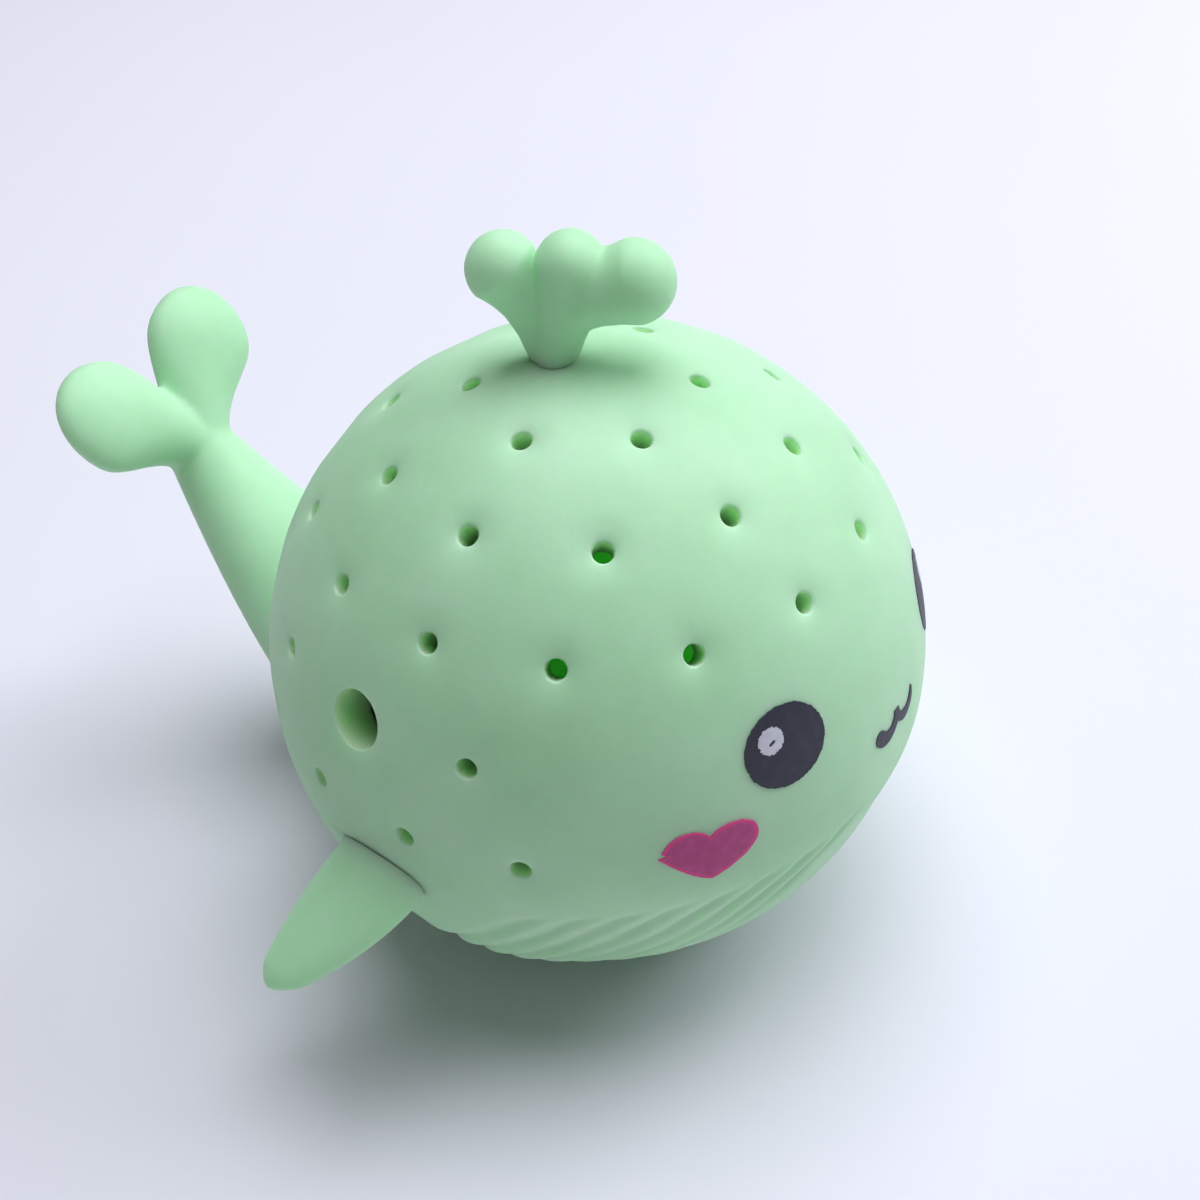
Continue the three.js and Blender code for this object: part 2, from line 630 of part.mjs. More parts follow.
// The eye's film has a hole for the glint, which lies in the same pocket.
function eyeSolid(prints) {
  const toEye = prints.eye.matrix.clone().invert().multiply(prints.glint.matrix);
  const window = glintTool(FILM_GAP).transform(toEye.elements);
  return film(eyeTool(0).subtract(window));
}

function placed(place, mesh) {
  const group = place.clone();
  group.add(mesh);
  return group;
}

const whale = new THREE.Group();
const rightSide = new THREE.Group();
const leftSide = new THREE.Group();
leftSide.scale.y = -1;
whale.add(rightSide, leftSide);

for (const [side, name] of [
  [rightSide, "right"],
  [leftSide, "left"],
]) {
  const right = name === "right";
  const prints = printPlaces(right ? 0 : LEFT_PRINT_DROP);
  side.add(meshOf(`shell_${name}`, shellHalf({ tongue: !right, fillHole: right, prints }), MINT));
  side.add(placed(places.fin, meshOf(`fin_${name}`, finSolid(), MINT)));
  side.add(placed(places.fin, meshOf(`fin_cap_${name}`, finCapSolid(), MINT)));
  side.add(placed(prints.eye, meshOf(`eye_${name}`, eyeSolid(prints), NAVY_INK)));
  const glint = film(glintTool(0));
  side.add(placed(prints.glint, meshOf(`eye_glint_${name}`, glint, WHITE_INK)));
  side.add(placed(prints.cheek, meshOf(`cheek_${name}`, film(heart(0)), PINK_INK)));
}
whale.add(
  placed(places.spout, meshOf("spout", spoutSolid(), MINT)),
  placed(places.tail, meshOf("tail", tailSolid(), MINT)),
  placed(places.mouth, meshOf("mouth", film(mouthLine(0)), NAVY_INK)),
  meshOf("belly_plug", plugSolid(), STOPPER),
);

export default whale;
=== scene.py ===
"""Looks for the whale bath toy: soft mint rubber, rings of spray holes, throat pleats and a printed face."""

import math

import bmesh
import bpy
import numpy as np
from mathutils import Matrix, Vector


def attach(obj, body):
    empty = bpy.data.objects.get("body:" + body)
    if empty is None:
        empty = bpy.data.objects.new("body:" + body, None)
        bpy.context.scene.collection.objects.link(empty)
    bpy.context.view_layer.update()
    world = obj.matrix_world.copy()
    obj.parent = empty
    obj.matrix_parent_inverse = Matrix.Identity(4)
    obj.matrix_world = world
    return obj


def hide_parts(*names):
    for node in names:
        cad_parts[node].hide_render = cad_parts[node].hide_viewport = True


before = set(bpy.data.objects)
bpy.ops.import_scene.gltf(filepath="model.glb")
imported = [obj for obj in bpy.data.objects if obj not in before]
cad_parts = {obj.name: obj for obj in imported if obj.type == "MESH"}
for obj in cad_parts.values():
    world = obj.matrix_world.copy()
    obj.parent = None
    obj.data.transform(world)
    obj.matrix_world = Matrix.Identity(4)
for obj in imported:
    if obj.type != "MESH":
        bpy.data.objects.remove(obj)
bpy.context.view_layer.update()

# Sizes in millimetres and degrees, as in the CAD model
MM = 0.001
R = 31.0
LIFT = 28.498
WALL = 2.2
INNER_FLOOR = 3.8
GAP = 0.3
CENTRE = np.array([0.0, 0.0, LIFT])

# Places on the ball, as latitude and azimuth
TOP_PLACE = (90, 0)
FOOT_PLACE = (-90, 0)
SPOUT_PLACE = (85.4, 180)
TAIL_PLACE = (-32, 180)
FIN_PLACE = (-9, 96.7)

# Rows and sides of the ball's outer skin and inner wall
OUTER_GRID = (390, 720)
INNER_GRID = (140, 260)
FOOT_EDGE = 0.6
WAVE_HEIGHT = 0.03
WAVE_SINK = 0.7
SEAM_HEIGHT = 0.008
SEAM_WIDTH = 0.25
# How deep below the skin the lighter, greener inside rubber begins: a painted glow standing in for light
# that comes through the wall
PAINTED_GLOW_DEPTH = 0.5

HOLE_RADIUS = 0.88
FILL_RADIUS = 2.65
FILL_AZIMUTH = 101.25
RING_HOLES = (6, 10, 14, 16, 18)
RING_TOP = 71.5
RING_STEP = 17.1
FULL_RINGS = 3
FACE_HALF_ANGLE = 65.0
DIMPLE_DEPTH = 0.2
DIMPLE_WIDTH = 1.5
FUNNEL_DEPTH = 0.1
FUNNEL_WIDTH = 0.45
RIM = 0.28
BORE_TAPER = 0.97
# A hole's drill reaches this far under the deepest wall, and flares a little above the skin
DRILL_BELOW = 3
DRILL_FLARE = 0.05
DRILL_PAST = 1.5
# Width and depth of the thicker wall inside, round the wide hole and round the others
FILL_NECK = (3.0, 2.0)
SPRAY_NECK = (1.75, 1.0)

PLEATS = 8
PLEAT_FIRST = 10.8
PLEAT_STEP = 8.0
PLEAT_TOP = -2.8
PLEAT_DROP = 0.6
PLEAT_END = -46.0
PLEAT_SLANT = 0.93
PLEAT_DEPTH = 0.45
PLEAT_WIDTH = 0.62
PLEAT_LEE = 1.7
PLEAT_FADE_IN = 5
PLEAT_FADE_OUT = 10
LIP_HEIGHT = 0.14
LIP_PLACE = 1.8
LIP_WIDTH = 1.1
# The throat is drawn in, growing over these degrees below the middle and ending over these round it
THROAT_DRAW = 0.7
THROAT_TOP = (2, 15)
THROAT_SIDE = (55, 85)

# Pegs under the skin, what holds them inside, and the room they turn in
ROOT_GAP = 0.055
KEY_COVER = 0.85
SOCKET_DEPTH = 5
CUT_PAST = 2
PEG_SIDES = 40
SPOUT_PEG = 1.8
SPOUT_PEG_REACH = 1.5
SPOUT_WAIST = 1.0
SPOUT_WAIST_SOCKET = 1.15
SPOUT_WAIST_DEPTH = 0.95
SPOUT_SHOULDER_DEPTH = 1.0
SPOUT_FLANGE = (3.4, 1.6)
TAIL_PEG = 5.5
TAIL_PEG_REACH = 3.0
TAIL_FLANGE = (8.5, 2)
TAIL_KEY_SOCKET = 7.4
TAIL_SOCKET_DEPTH = 6
FIN_PEG = 1.7
FIN_PEG_REACH = 1.3
FIN_KEY_SOCKET = 3.4
COLLAR = (3.6, 1.6)
COLLAR_EDGE = 0.3
COLLAR_BORE = 1.8

PLUG_RADIUS = 7.6
PLUG_LENGTH = 4.6
PLUG_EDGE = 0.4
PLUG_HEAD_RADIUS = 9.3
PLUG_HEAD_THICKNESS = 1.4
PLUG_HEAD_EDGE = 0.25
PLUG_FACE_EDGE = 0.3
PLUG_DISH = (3.2, 2.9, 0.25)
PLUG_SOCKET_DEPTH = 7
NOTCH_RADIUS = 2.6
NOTCH_DEPTH = 1.2
FOOT_CUT_PAST = 1

# The spout's arms as (out, up, half height, half depth), from the stem to the knob
SPOUT_LEFT_ARM = (
    (0.7, -0.8, 1.6, 1.2), (1.5, 2.4, 1.8, 1.2), (3.0, 5.3, 2.35, 1.6), (5.5, 7.75, 3.2, 3.2))
SPOUT_RIGHT_ARM = (
    (0.2, 1.5, 1.6, 1.5), (0.4, 4.6, 2.0, 1.9), (2.2, 6.4, 2.8, 2.8), (5.35, 7.3, 3.55, 3.55))
# Its middle finger runs from the foot to the tip, as (out, up), with (half height, half depth) at each
SPOUT_FOOT = (-0.3, -2.0)
SPOUT_TIP = (0.0, 8.4)
SPOUT_STEM = (1.5, 1.8)
SPOUT_FINGER = (2.95, 3.15)
SPOUT_CREASE = {-1: 0.25, 1: 0.5}
SPOUT_FILLET = 1.2
SPOUT_LEAN = 13
SPOUT_TURN = 112
SPOUT_BOX = ([12, 6, 4], [14, 6, 15])
SPOUT_CELL = 0.16
SPOUT_SMOOTHING = 3

# The tail's curve as (up, out) from its place on the skin, with its half height and half width
TAIL_START = (-5, -8)
TAIL_BEND = (1, 6.2)
TAIL_NECK = (32.6, 8.4)
TAIL_ROOT_HALVES = (9, 15)
TAIL_NECK_HALF = 3.3
TAIL_CELL = 0.4
TAIL_SMOOTHING = 8
# A fluke's curve in shares of its spread, length and curl
FLUKE_CURVE = ((0, -0.12, 0), (0.3, 0.3, 0.5), (0.65, 0.64, 1), (1, 0.9, 1))
FLUKE_SPREAD = 11.7
FLUKE_LENGTH = 12
FLUKE_CURL = 2.3
FLUKE_TILT = 5
FLUKE_HALF_WIDTH = 6.0
FLUKE_HALF_THICKNESS = 2.7
FLUKE_END = 0.4

FIN_DROOP = 25
FIN_CHORD = 9.8
FIN_TIP_CHORD = 3.1
FIN_TAPER_POWER = 2.1
FIN_SPAN = 13.8
FIN_SWEEP = 3.8
FIN_SWEEP_POWER = 1.2
FIN_TIP_LENGTH = 2.2
FIN_ROOT_THICKNESS = 4.6
FIN_TIP_THICKNESS = 2.4

EYE_PLACE = (19, 26.2)
EYE_SIZE = (7.9, 7.3)
GLINT_PLACE = (21, 28.9)
GLINT_SIZE = (2.4, 2.4)
CHEEK_PLACE = (4.6, 40.6)
CHEEK_SIZE = (8.4, 5.6)
CHEEK_NOTCH = 0.9
MOUTH_PLACE = (8.3, 0)
MOUTH_REACH = 1.7
MOUTH_SAG = 1.7
# Half the mouth's line along its way from the near end at -1 to the far end at 1
MOUTH_ALONG = (-1, -0.8, -0.5, -0.08, 0.08, 0.5, 0.85, 1)
MOUTH_HALF_LINE = (0.74, 0.72, 0.55, 0.42, 0.42, 0.5, 0.38, 0.18)
LEFT_PRINT_DROP = 4.8
INK_LIFT = 0.06
INK_THICKNESS = 0.12
GLINT_LIFT = 0.09
MOUTH_LIFT = 0.08
MOUTH_SINK = 0.06
OUTLINE_POINTS = 360
WOBBLE = {"eye": 0.03, "glint": 0.05, "cheek": 0.02, "mouth": 0.015}

rng = np.random.default_rng(7)


def unit(v):
    return v / np.linalg.norm(v, axis=-1, keepdims=True)


def lerp(a, b, t):
    return a + (b - a) * t


def smoothstep(x, low, high):
    t = np.clip((x - low) / (high - low), 0, 1)
    return t * t * (3 - 2 * t)


def direction(lat, az):
    """Out of the ball's centre; azimuth runs from the face round the whale's right."""
    lat, az = np.radians(lat), np.radians(az)
    return np.stack([np.cos(lat) * np.cos(az), -np.cos(lat) * np.sin(az), np.sin(lat) + 0 * az], -1)


class Station:
    """A frame at the ball's centre: Z out through a place on the ball, Y towards the ball's top."""

    def __init__(self, lat, az, turn=0.0, mirrored=False):
        z = direction(lat, az)
        a = math.radians(az)
        x = np.array([math.sin(a), math.cos(a), 0.0])
        y = np.cross(z, x)
        t = math.radians(turn)
        x, y = x * math.cos(t) + y * math.sin(t), y * math.cos(t) - x * math.sin(t)
        self.axes = np.stack([x, y, z])
        if mirrored:
            self.axes[:, 1] *= -1
        self.mirrored = mirrored

    def world(self, points):
        return CENTRE + np.asarray(points, float) @ self.axes


# Meshes


def make(name, verts, faces, flip=False):
    """A mesh object from points in millimetres."""
    mesh = bpy.data.meshes.new(name)
    if flip:
        faces = [tuple(reversed(f)) for f in faces]
    mesh.from_pydata((np.asarray(verts) * MM).tolist(), [], faces)
    mesh.validate()
    obj = bpy.data.objects.new(name, mesh)
    bpy.context.scene.collection.objects.link(obj)
    return obj


def apply_modifier(obj, kind, **settings):
    modifier = obj.modifiers.new(kind, kind)
    for key, value in settings.items():
        setattr(modifier, key, value)
    graph = bpy.context.evaluated_depsgraph_get()
    mesh = bpy.data.meshes.new_from_object(obj.evaluated_get(graph))
    obj.modifiers.clear()
    old = obj.data
    obj.data = mesh
    mesh.name = obj.name
    bpy.data.meshes.remove(old)


def boolean(obj, tool, operation):
    """Joins or cuts with a tool, which is used up."""
    apply_modifier(obj, "BOOLEAN", object=tool, operation=operation, solver="MANIFOLD")
    bpy.data.objects.remove(tool, do_unlink=True)


def smooth(obj, angle=40.0):
    obj.data.shade_smooth()
    obj.data.set_sharp_from_angle(angle=math.radians(angle))


def grid_faces(rows, cols):
    faces = []
    for i in range(rows - 1):
        for j in range(cols):
            k = (j + 1) % cols
            faces.append((i * cols + j, i * cols + k, (i + 1) * cols + k, (i + 1) * cols + j))
    return faces


def loft(rings):
    """Rings of points, joined in order and closed with a fan at both ends."""
    rows, cols = len(rings), len(rings[0])
    verts = np.concatenate([np.concatenate(rings), [np.mean(rings[0], 0), np.mean(rings[-1], 0)]])
    faces = grid_faces(rows, cols)
    low, high = rows * cols, rows * cols + 1
    last = (rows - 1) * cols
    for j in range(cols):
        k = (j + 1) % cols
        faces.append((low, k, j))
        faces.append((high, last + j, last + k))
    return verts, faces


def lathe(station, profile, sides):
    """A closed turned solid about the station's Z axis from (radius, height) pairs, bottom to top."""
    angle = np.linspace(0, 2 * np.pi, sides, endpoint=False)
    rings = [np.stack([r * np.cos(angle), r * np.sin(angle), 0 * angle + z], -1) for r, z in profile]
    verts, faces = loft(rings)
    return station.world(verts), faces, station.mirrored


def stepped(low_radius, high_radius, low, step, high):
    """Profile of a bore that changes its radius at one step."""
    return [(low_radius, low), (low_radius, step), (high_radius, step), (high_radius, high)]


def gather(name, solids):
    """One mesh object from several closed solids that stay clear of each other."""
    all_verts, all_faces, base = [], [], 0
    for verts, faces, flip in solids:
        all_faces += [tuple(base + i for i in (reversed(f) if flip else f)) for f in faces]
        all_verts.append(verts)
        base += len(verts)
    return make(name, np.concatenate(all_verts), all_faces)


def bezier(controls, t):
    points = [np.array(c, float) for c in controls]
    t = np.asarray(t)[:, None]
    n = len(points) - 1
    return sum(math.comb(n, i) * (1 - t) ** (n - i) * t**i * p for i, p in enumerate(points))


def limb(controls, flat, half_width, half_thickness, sides, steps, end_round=0.0):
    """Oval sections square to a curve, with a flat end or one rounded over the last share of it."""
    dense = bezier(controls, np.linspace(0, 1, 400))
    length = np.concatenate([[0], np.cumsum(np.linalg.norm(np.diff(dense, axis=0), axis=1))])
    length /= length[-1]
    place = np.linspace(0, 1 - end_round, steps + 1)
    shrink = np.ones(steps + 1)
    if end_round:
        turn = np.radians(np.linspace(0, 86, 11)[1:])
        place = np.concatenate([place, 1 - end_round + end_round * np.sin(turn)])
        shrink = np.concatenate([shrink, np.cos(turn)])
    angle = np.linspace(0, 2 * np.pi, sides, endpoint=False)
    rings = []
    for p, s in zip(place, shrink):
        at = np.array([np.interp(p, length, dense[:, k]) for k in range(3)])
        near = np.clip([p - 0.004, p + 0.004], 0, 1)
        ends = [np.array([np.interp(q, length, dense[:, k]) for k in range(3)]) for q in near]
        across = unit(np.cross(flat, ends[1] - ends[0]))
        w, h = half_width(p) * s, half_thickness(p) * s
        rings.append(at + w * np.cos(angle)[:, None] * across + h * np.sin(angle)[:, None] * flat)
    return loft(rings)


def oval_cone(points, start, end, start_size, end_size, flat):
    """Distance from an oval limb between two points, whose sizes are (half height, half depth)."""
    axis = end - start
    t = np.clip((points - start) @ axis / (axis @ axis), 0, 1)
    off = points - start - t[:, None] * axis
    deep = off @ flat
    across = np.sqrt(np.maximum((off * off).sum(1) - deep**2, 0))
    high, thick = lerp(start_size[0], end_size[0], t), lerp(start_size[1], end_size[1], t)
    return (np.hypot(across / high, deep / thick) - 1) * np.minimum(high, thick)


def melt(a, b, reach):
    """The nearer of two distances, with a fillet where they are alike."""
    h = np.clip(0.5 + 0.5 * (b - a) / reach, 0, 1)
    return lerp(b, a, h) - reach * h * (1 - h)


def skin_of(field, low, high, step):
    """Closed mesh of the surface where a field crosses zero, with one point in each cell it passes."""
    counts = np.ceil((np.array(high) - low) / step).astype(int) + 1
    ticks = [low[i] + step * np.arange(counts[i]) for i in range(3)]
    value = field(np.stack(np.meshgrid(*ticks, indexing="ij"), -1).reshape(-1, 3)).reshape(counts)
    cells = counts - 1

    def corner(o):
        return value[o[0]:o[0] + cells[0], o[1]:o[1] + cells[1], o[2]:o[2] + cells[2]]

    total, hits = np.zeros((*cells, 3)), np.zeros(cells)
    for axis in range(3):
        for pair in ((0, 0), (0, 1), (1, 0), (1, 1)):
            a, b = np.insert(pair, axis, 0), np.insert(pair, axis, 1)
            va, vb = corner(a), corner(b)
            crossed = (va < 0) != (vb < 0)
            share = np.where(crossed, va / np.where(crossed, va - vb, 1), 0)
            total += crossed[..., None] * (a + share[..., None] * (b - a))
            hits += crossed
    number = np.full(cells, -1)
    passed = hits > 0
    number[passed] = np.arange(passed.sum())
    verts = low + step * (np.argwhere(passed) + total[passed] / hits[passed][:, None])

    faces = []
    inside = value < 0
    unit_steps = np.eye(3, dtype=int)
    for axis in range(3):
        u, v = unit_steps[(axis + 1) % 3], unit_steps[(axis + 2) % 3]
        before = np.take(inside, range(counts[axis] - 1), axis)
        edges = np.argwhere(before != np.take(inside, range(1, counts[axis]), axis))
        quads = np.stack([number[tuple((edges - s).T)] for s in (u + v, v, 0 * u, u)], 1)
        outward = before[tuple(edges.T)]
        quads[~outward] = quads[~outward][:, ::-1]
        faces += quads.tolist()
    return verts, faces


# Materials


def node(tree, kind, **settings):
    made = tree.nodes.new(kind)
    for key, value in settings.items():
        setattr(made, key, value)
    return made


def noise(tree, coords, scale, detail=3.0):
    made = node(tree, "ShaderNodeTexNoise")
    made.inputs["Scale"].default_value = scale
    made.inputs["Detail"].default_value = detail
    made.inputs["Roughness"].default_value = 0.55
    tree.links.new(coords, made.inputs["Vector"])
    return made.outputs["Fac"]


def ramp(tree, value, stops):
    made = node(tree, "ShaderNodeValToRGB")
    elements = made.color_ramp.elements
    while len(elements) < len(stops):
        elements.new(0.5)
    for element, (place, colour) in zip(elements, stops):
        element.position = place
        element.color = (*colour, 1)
    tree.links.new(value, made.inputs["Fac"])
    return made.outputs["Color"]


def spread(tree, value, low, high):
    made = node(tree, "ShaderNodeMapRange")
    made.inputs["To Min"].default_value = low
    made.inputs["To Max"].default_value = high
    tree.links.new(value, made.inputs["Value"])
    return made.outputs["Result"]


def larger(tree, a, b):
    made = node(tree, "ShaderNodeMath", operation="MAXIMUM")
    tree.links.new(a, made.inputs[0])
    tree.links.new(b, made.inputs[1])
    return made.outputs[0]


def new_material(name):
    material = bpy.data.materials.new(name)
    material.use_nodes = True
    tree = material.node_tree
    coords = node(tree, "ShaderNodeTexCoord").outputs["Object"]
    return material, tree, tree.nodes["Principled BSDF"], coords


def bump(tree, shader, height, strength, distance):
    made = node(tree, "ShaderNodeBump")
    made.inputs["Strength"].default_value = strength
    made.inputs["Distance"].default_value = distance
    tree.links.new(height, made.inputs["Height"])
    tree.links.new(made.outputs["Normal"], shader.inputs["Normal"])


def rubber(name, tones, soak=0.6, depth=0.004):
    """Matte soft rubber: slightly mottled, finely grained, with light soaking into it."""
    material, tree, shader, coords = new_material(name)
    mottle = noise(tree, coords, 85.0, 4.0)
    tree.links.new(ramp(tree, mottle, [(0.32, tones[0]), (0.5, tones[1]), (0.7, tones[2])]),
                   shader.inputs["Base Color"])
    tree.links.new(spread(tree, noise(tree, coords, 420.0), 0.46, 0.64), shader.inputs["Roughness"])
    bump(tree, shader, noise(tree, coords, 2600.0, 2.0), 0.05, 0.0002)
    shader.inputs["Subsurface Weight"].default_value = soak
    shader.inputs["Subsurface Radius"].default_value = (0.45, 1.0, 0.45)
    shader.inputs["Subsurface Scale"].default_value = depth
    shader.inputs["Specular IOR Level"].default_value = 0.4
    return material


def ink(name, tones, rim=None):
    """Pad-printed ink, a little uneven where it is thin, and brighter round the rim where it piles up."""
    material, tree, shader, coords = new_material(name)
    patch = noise(tree, coords, 900.0, 4.0)
    colour = ramp(tree, patch, [(0.3, tones[0]), (0.55, tones[1]), (0.78, tones[2])])
    if rim:
        edge = node(tree, "ShaderNodeAttribute", attribute_name="edge")
        mix = node(tree, "ShaderNodeMixRGB")
        tree.links.new(edge.outputs["Fac"], mix.inputs["Fac"])
        tree.links.new(colour, mix.inputs["Color1"])
        mix.inputs["Color2"].default_value = (*rim, 1)
        colour = mix.outputs["Color"]
    tree.links.new(colour, shader.inputs["Base Color"])
    tree.links.new(spread(tree, noise(tree, coords, 1500.0), 0.44, 0.58), shader.inputs["Roughness"])
    bump(tree, shader, noise(tree, coords, 3200.0, 2.0), 0.06, 0.0001)
    shader.inputs["Specular IOR Level"].default_value = 0.35
    return material


MINT = rubber("mint_rubber", [(0.42, 0.73, 0.47), (0.45, 0.77, 0.51), (0.49, 0.80, 0.55)])
# The same rubber, lighter and greener, for the hole walls and the hollow. Its colour is painted glow for
# light coming through the wall; its deeper soak is real translucency.
PAINTED_GLOW_RUBBER = rubber("inner_rubber_painted_glow", [(0.47, 0.81, 0.43), (0.51, 0.84, 0.47), (0.54, 0.86, 0.50)],
                soak=1.0, depth=0.007)
STOPPER = rubber("stopper_rubber", [(0.33, 0.62, 0.38), (0.36, 0.66, 0.42), (0.39, 0.69, 0.45)])
NAVY = ink("navy_ink", [(0.028, 0.030, 0.050), (0.033, 0.034, 0.057), (0.044, 0.045, 0.072)])
WHITE = ink("white_ink", [(0.50, 0.51, 0.62), (0.60, 0.61, 0.73), (0.68, 0.69, 0.80)])
PINK = ink("pink_ink", [(0.42, 0.048, 0.21), (0.47, 0.058, 0.24), (0.55, 0.078, 0.30)],
           rim=(0.72, 0.05, 0.27))


def finish_piece(obj, material, body, slot, *nodes):
    obj.data.materials.clear()
    obj.data.materials.append(material)
    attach(obj, body)
    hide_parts(*nodes)


# Body


def holes_of(right):
    """Station and radius of every spray hole on one side."""
    found = []
    for ring, count in enumerate(RING_HOLES):
        step = 360 / count
        lat = RING_TOP - RING_STEP * ring
        for i in range(count // 2):
            az = step * (i + 0.5)
            if right and ring == FULL_RINGS and int(FILL_AZIMUTH // step) == i:
                found.append((Station(lat, FILL_AZIMUTH), FILL_RADIUS))
            elif ring < FULL_RINGS or az > FACE_HALF_ANGLE:
                found.append((Station(lat, az, mirrored=not right), HOLE_RADIUS))
    return found


HOLES = holes_of(True) + holes_of(False)


def surface_distance(d, station):
    """How far along the ball each outward direction is from the middle of a station."""
    return R * np.arccos(np.clip(d @ station.axes[2], -1, 1))


def skin_offset(d):
    """How far the moulded surface stands off the true ball, for outward directions."""
    lat = np.degrees(np.arcsin(np.clip(d[:, 2], -1, 1)))
    az = np.degrees(np.arctan2(np.abs(d[:, 1]), d[:, 0]))
    offset = np.zeros(len(d))
    for station, radius in HOLES:
        away = np.maximum(surface_distance(d, station) - radius, 0)
        offset -= DIMPLE_DEPTH * np.exp(-np.square(away / DIMPLE_WIDTH))
        offset -= FUNNEL_DEPTH * np.exp(-np.square(away / FUNNEL_WIDTH))
    offset -= THROAT_DRAW * smoothstep(-lat, *THROAT_TOP) * (1 - smoothstep(az, *THROAT_SIDE))
    slope = math.hypot(1, PLEAT_SLANT)
    across = az + PLEAT_SLANT * lat
    for number in range(PLEATS):
        top = PLEAT_TOP - PLEAT_DROP * number
        line = PLEAT_FIRST + PLEAT_STEP * number + PLEAT_SLANT * top
        off = np.radians(across - line) * R * np.cos(np.radians(lat)) / slope
        fade = smoothstep(-lat, -top, -top + PLEAT_FADE_IN)
        fade = fade * (1 - smoothstep(-lat, -PLEAT_END - PLEAT_FADE_OUT, -PLEAT_END))
        width = np.where(off > 0, PLEAT_WIDTH * PLEAT_LEE, PLEAT_WIDTH)
        offset -= PLEAT_DEPTH * fade * np.exp(-np.square(off / width))
        offset += LIP_HEIGHT * fade * np.exp(-np.square((off - LIP_PLACE) / LIP_WIDTH))
    x, y, z = d.T
    waves = np.sin(7 * x + 5 * z) * np.cos(5 * y) + np.sin(6 * z - 4 * x + 1.3) * np.cos(9 * y)
    offset += WAVE_HEIGHT * (waves - WAVE_SINK)
    offset += SEAM_HEIGHT * np.exp(-np.square(y * R / SEAM_WIDTH))
    return offset


def inner_offset(d):
    """The inner wall, which is thicker round every hole and most round the wide one."""
    offset = np.full(len(d), -WALL)
    for station, radius in HOLES:
        width, depth = FILL_NECK if radius == FILL_RADIUS else SPRAY_NECK
        away = surface_distance(d, station) - radius
        offset -= depth * (1 - smoothstep(away, width - 1, width))
    return offset


def soft_floor(radius, d, level):
    """Distance from the centre to a ball cut flat at a level, with the edge of the cut rounded."""
    flat = (LIFT - level) / np.maximum(-d[:, 2], 1e-6)
    return melt(radius, flat, FOOT_EDGE)


def ball_skin(offset_of, level, grid):
    """A ball with its foot cut flat, about the axis from flank to flank."""
    rows, sides = grid
    phi = np.linspace(0, 2 * np.pi, sides, endpoint=False)
    theta = np.radians(np.linspace(0.3, 179.7, rows))
    d = np.concatenate([np.stack([math.sin(t) * np.cos(phi), np.full(sides, -math.cos(t)),
                                  math.sin(t) * np.sin(phi)], -1) for t in theta])
    points = d * soft_floor(R + offset_of(d), d, level)[:, None] + CENTRE
    points[:, 2] = np.maximum(points[:, 2], level)
    return loft(list(points.reshape(rows, sides, 3)))


def hole_drill(station, radius):
    """A slightly tapered drill with a rounded shoulder that leaves a soft rim."""
    low, level = R - WALL - FILL_NECK[1] - DRILL_BELOW, R - DIMPLE_DEPTH - FUNNEL_DEPTH
    profile = [(radius * BORE_TAPER, low)]
    for a in np.radians(np.linspace(0, 90, 7)):
        profile.append((radius + RIM * (1 - math.cos(a)), level - RIM + RIM * math.sin(a)))
    profile.append((radius + RIM + DRILL_FLARE, level + DRILL_PAST))
    return lathe(station, profile, 40 if radius == FILL_RADIUS else 28)


def body():
    """The hollow ball: outer skin and inner wall, pierced by its holes and sockets."""
    outside = (*ball_skin(skin_offset, 0.0, OUTER_GRID), False)
    inside = (*ball_skin(inner_offset, INNER_FLOOR, INNER_GRID), True)
    obj = gather("body_skin", [outside, inside])
    bm = bmesh.new()
    bm.from_mesh(obj.data)
    if bm.calc_volume(signed=True) < 0:
        bmesh.ops.reverse_faces(bm, faces=bm.faces)
    bm.to_mesh(obj.data)
    bm.free()

    tools = [hole_drill(station, radius) for station, radius in HOLES]
    step, high = R - KEY_COVER, R + CUT_PAST
    for mirrored in (False, True):
        socket = stepped(FIN_KEY_SOCKET, FIN_PEG + GAP, R - SOCKET_DEPTH, step, high)
        tools.append(lathe(Station(*FIN_PLACE, mirrored=mirrored), socket, 32))
    socket = stepped(SPOUT_PEG + GAP, SPOUT_WAIST_SOCKET, R - SOCKET_DEPTH, step, high)
    tools.append(lathe(Station(*SPOUT_PLACE), socket, 32))
    socket = stepped(TAIL_KEY_SOCKET, TAIL_PEG + GAP, R - TAIL_SOCKET_DEPTH, step, high)
    tools.append(lathe(Station(*TAIL_PLACE), socket, 48))
    socket = stepped(PLUG_RADIUS + GAP, PLUG_HEAD_RADIUS + GAP, LIFT - PLUG_SOCKET_DEPTH,
                     LIFT - PLUG_HEAD_THICKNESS - GAP, LIFT + FOOT_CUT_PAST)
    tools.append(lathe(Station(*FOOT_PLACE), socket, 64))
    boolean(obj, gather("drills", tools), "DIFFERENCE")

    notch = [(NOTCH_RADIUS, LIFT - NOTCH_DEPTH), (NOTCH_RADIUS, LIFT + FOOT_CUT_PAST)]
    nail_notch = gather("nail_notch", [lathe(Station(*FOOT_PLACE), notch, 32)])
    nail_notch.data.transform(Matrix.Translation((PLUG_HEAD_RADIUS * MM, 0, 0)))
    boolean(obj, nail_notch, "DIFFERENCE")
    smooth(obj, 35)
    return obj


